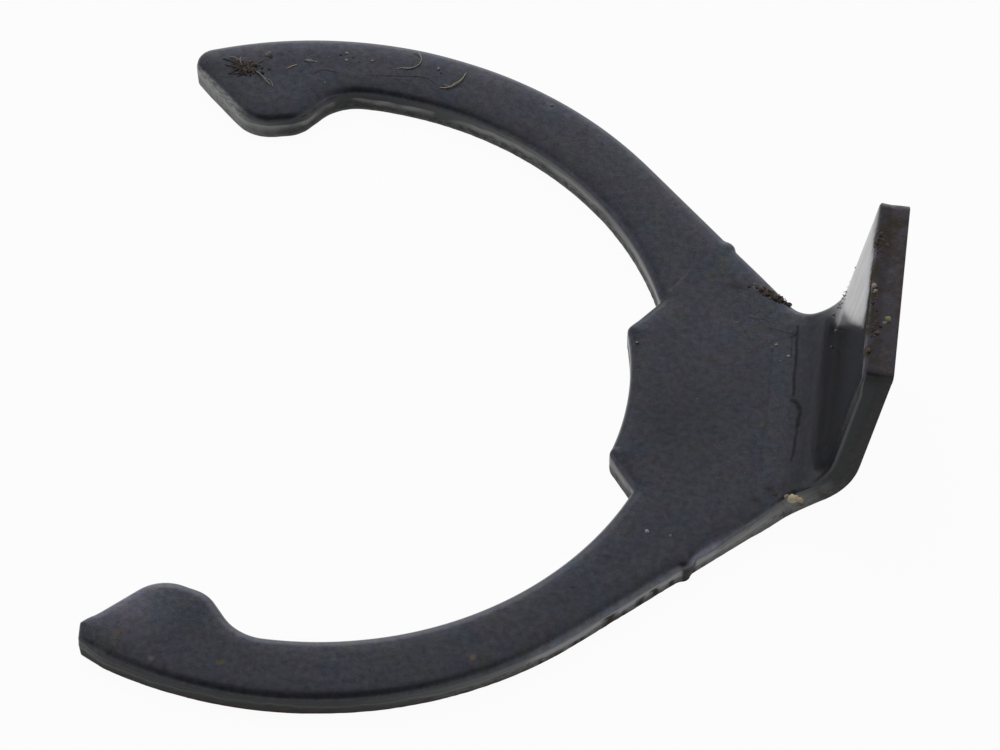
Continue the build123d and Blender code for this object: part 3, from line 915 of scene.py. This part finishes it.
def lumps(places, halfSizes, turns, colours, seed, rows=8, columns=10):
    # balls whose radius is 1 + 0.15 * a sum of four cosines across them, stretched and turned
    pick = np.random.default_rng(seed)
    down, about = np.meshgrid(np.linspace(0, np.pi, rows), np.linspace(0, 2 * np.pi, columns), indexing="ij")
    ball = np.stack([np.sin(down) * np.cos(about), np.sin(down) * np.sin(about), np.cos(down)], axis=-1)
    ball = ball.reshape(-1, 3)
    wave, phase = pick.normal(0, 2.0, (len(places), 4, 3)), pick.random((len(places), 4)) * 2 * np.pi
    bulge = 1 + 0.15 * np.cos(np.einsum("gwk,pk->gpw", wave, ball) + phase[:, None]).sum(axis=2)
    x, y, z = np.moveaxis(ball * bulge[..., None] * halfSizes[:, None], 2, 0)
    cosine, sine = np.cos(np.radians(turns))[:, None], np.sin(np.radians(turns))[:, None]
    points = np.stack([x * cosine - y * sine, x * sine + y * cosine, z], axis=-1) + places[:, None]
    each = rows * columns
    faces = np.concatenate([gridFaces(rows, columns, number * each) for number in range(len(places))])
    return points.reshape(-1, 3), faces, np.repeat(colours, each, axis=0)


def dirtMaterial(name, roughness):
    material = bpy.data.materials.new(name)
    r = Recipe(material)
    place = r.scaled(r.add("ShaderNodeTexCoord", output="Object"), 1 / mm)
    colour = r.scaled(r.carried("tint", "Vector"), 0.5 + r.noise(place, 14.0))
    surface = r.surface({"Base Color": colour, "Roughness": roughness})
    r.add("ShaderNodeOutputMaterial", {}, {"Surface": surface})
    return material


def strewn(d, start, end, count, off, sizes, colours, seed):
    # grains normally spread round a straight line, most of them small: places, half sizes, turns and tints
    pick = np.random.default_rng(seed)
    along = np.array(start) + (np.array(end) - start) * pick.random((count, 1))
    places = along + pick.normal(0, 0.5, (count, 3)) * off
    small, large = sizes
    size = small + (large - small) * pick.random((count, 1)) ** 2
    halfSizes = size * (0.7 + 0.6 * pick.random((count, 3))) * [1, 1, 0.7]
    turns = pick.random(count) * 180
    tones = np.array([d[name] for name in colours.split()])
    tints = tones[pick.integers(0, len(tones), count)] * (0.7 + 0.6 * pick.random((count, 1)))
    return places, halfSizes, turns, tints


def addGrains(d, material):
    groups = [([place], [halfSizes], [turn], [d[colour]]) for place, halfSizes, turn, colour in d["grains"]]
    groups += [strewn(d, *group) for group in d["strewn"]]
    points, faces, tint = lumps(*(np.concatenate(column) for column in zip(*groups)), d["lumpSeed"])
    return addPiece("dirt_grains", points, faces, material, {"tint": tint})


def fibreTube(places, radius, sides=8, steps=10):
    # circles round a cardinal spline through the places, thinning to a point at both ends
    knots = np.array(places)
    knots = np.concatenate([[2 * knots[0] - knots[1]], knots, [2 * knots[-1] - knots[-2]]])
    a, b, c, e = (knots[k:len(knots) - 3 + k, None] for k in range(4))
    u = np.linspace(0, 1, steps, endpoint=False)[None, :, None]
    path = b + 0.5 * u * (c - a) + u * u * (a - 2.5 * b + 2 * c - 0.5 * e)
    path = path + u ** 3 * (-0.5 * a + 1.5 * b - 1.5 * c + 0.5 * e)
    path = np.concatenate([path.reshape(-1, 3), knots[-2:-1]])
    along = np.gradient(path, axis=0)
    along /= np.linalg.norm(along, axis=1)[:, None]
    side = np.cross(along, [0, 0, 1])
    side /= np.linalg.norm(side, axis=1)[:, None]
    above = np.cross(side, along)
    angle = np.linspace(0, 2 * np.pi, sides + 1)[None, :, None]
    share = np.linspace(0, 1, len(path))[:, None, None]
    thin = np.minimum(1, 8 * np.minimum(share, 1 - share)) ** 0.5
    return path[:, None] + radius * thin * (side[:, None] * np.cos(angle) + above[:, None] * np.sin(angle))


def addFibres(d, material):
    points, faces, tints, count = [], [], [], 0
    for places, radius, colour in d["fibres"]:
        tube = fibreTube(places, radius)
        faces.append(gridFaces(*tube.shape[:2], count))
        points.append(tube.reshape(-1, 3))
        tints.append(np.tile(d[colour], (len(points[-1]), 1)))
        count += len(points[-1])
    points, faces, tints = (np.concatenate(column) for column in (points, faces, tints))
    return addPiece("dirt_fibres", points, faces, material, {"tint": tints})


grains = addGrains(dirt, dirtMaterial("dirt", dirt["grainRoughness"]))
fibres = addFibres(dirt, dirtMaterial("fibre", dirt["fibreRoughness"]))
for piece in (grains, fibres):
    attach(piece, "root")
print("dirt added")


stage = {
    "floorHalf": 2500.0, "floorDrop": 0.01, "floorGrey": 0.88,
    "glow": 0.97, "whiteSeen": 0.985, "whiteMirrored": 0.7,
}


def addFloor(s):
    # plain white to the eye and, more weakly, in the metal's reflections, over a matt white that holds the
    # shadow
    material = bpy.data.materials.new("white table")
    r = Recipe(material)
    matt = r.add("ShaderNodeBsdfDiffuse", {}, {"Color": (*[s["floorGrey"]] * 3, 1)})
    glow = r.add("ShaderNodeEmission", {}, {"Color": (1, 1, 1, 1), "Strength": s["glow"]})
    rays = ("Is Camera Ray", "Is Glossy Ray", "Is Transmission Ray")
    eye, mirrored, through = (r.add("ShaderNodeLightPath", output=ray) for ray in rays)
    share = (eye * s["whiteSeen"]).most(mirrored.most(through) * s["whiteMirrored"])
    mixed = r.add("ShaderNodeMixShader", {}, {0: share, 1: matt, 2: glow})
    r.add("ShaderNodeOutputMaterial", {}, {"Surface": mixed})
    corners = np.array([[-1, -1, 0], [1, -1, 0], [1, 1, 0], [-1, 1, 0]], float) * s["floorHalf"]
    corners[:, 2] = -s["floorDrop"]
    floor = addPiece("floor", corners, np.array([[0, 1, 2, 3]]), material, smooth=False)


sky = {
    "tint": (0.98, 0.99, 1.0),
    "low": 1.0, "high": 0.5,  # brightness of the walls and of the ceiling
    "heights": (0.5, 0.8),  # where one turns into the other
    # where, how wide as cosines of the edge and the middle, times what
    "patches": [
        ((0.055, -0.627, 0.777), (0.68, 0.95), 0.07),  # the opening for the viewer
        ((-0.09, 0.93, 0.36), (0.87, 0.99), 2.3),  # the window side, low at the back
        ((-0.72, 0.62, 0.32), (0.82, 0.97), 0.68),  # a duller corner at the left of it
    ],
}


def addSky(s):
    # a light tent round the table: white walls, a softer ceiling, and a dim opening
    world = bpy.data.worlds.new("light tent")
    bpy.context.scene.world = world
    r = Recipe(world)
    direction = r.add("ShaderNodeTexCoord", output="Generated")
    level = s["low"] + (s["high"] - s["low"]) * r.part(direction, "Z").rise(*s["heights"])
    for aim, (edge, middle), times in s["patches"]:
        towards = r.vector("DOT_PRODUCT", direction, Vector(aim).normalized(), output="Value")
        level = level * (1 + (times - 1) * towards.rise(edge, middle))
    glow = r.add("ShaderNodeBackground", {}, {"Color": (*s["tint"], 1), "Strength": level})
    r.add("ShaderNodeOutputWorld", {}, {"Surface": glow})


softbox = {"place": (-150, 350, 800), "aim": (5, 0, 0), "width": 700, "power": 8}


def addLamp(name, s):
    data = bpy.data.lights.new(name, "AREA")
    data.shape, data.size, data.energy = "DISK", s["width"] * mm, s["power"]
    lamp = bpy.data.objects.new(name, data)
    lamp.location = Vector(s["place"]) * mm
    lamp.visible_glossy = False  # it only fills; the metal mirrors the studio
    lamp.rotation_euler = (Vector(s["aim"]) - Vector(s["place"])).to_track_quat("-Z", "Y").to_euler()
    bpy.context.scene.collection.objects.link(lamp)


addFloor(stage)
addSky(sky)
addLamp("overhead softbox", softbox)
bpy.context.scene.view_settings.view_transform = "Standard"
print("floor and light added")
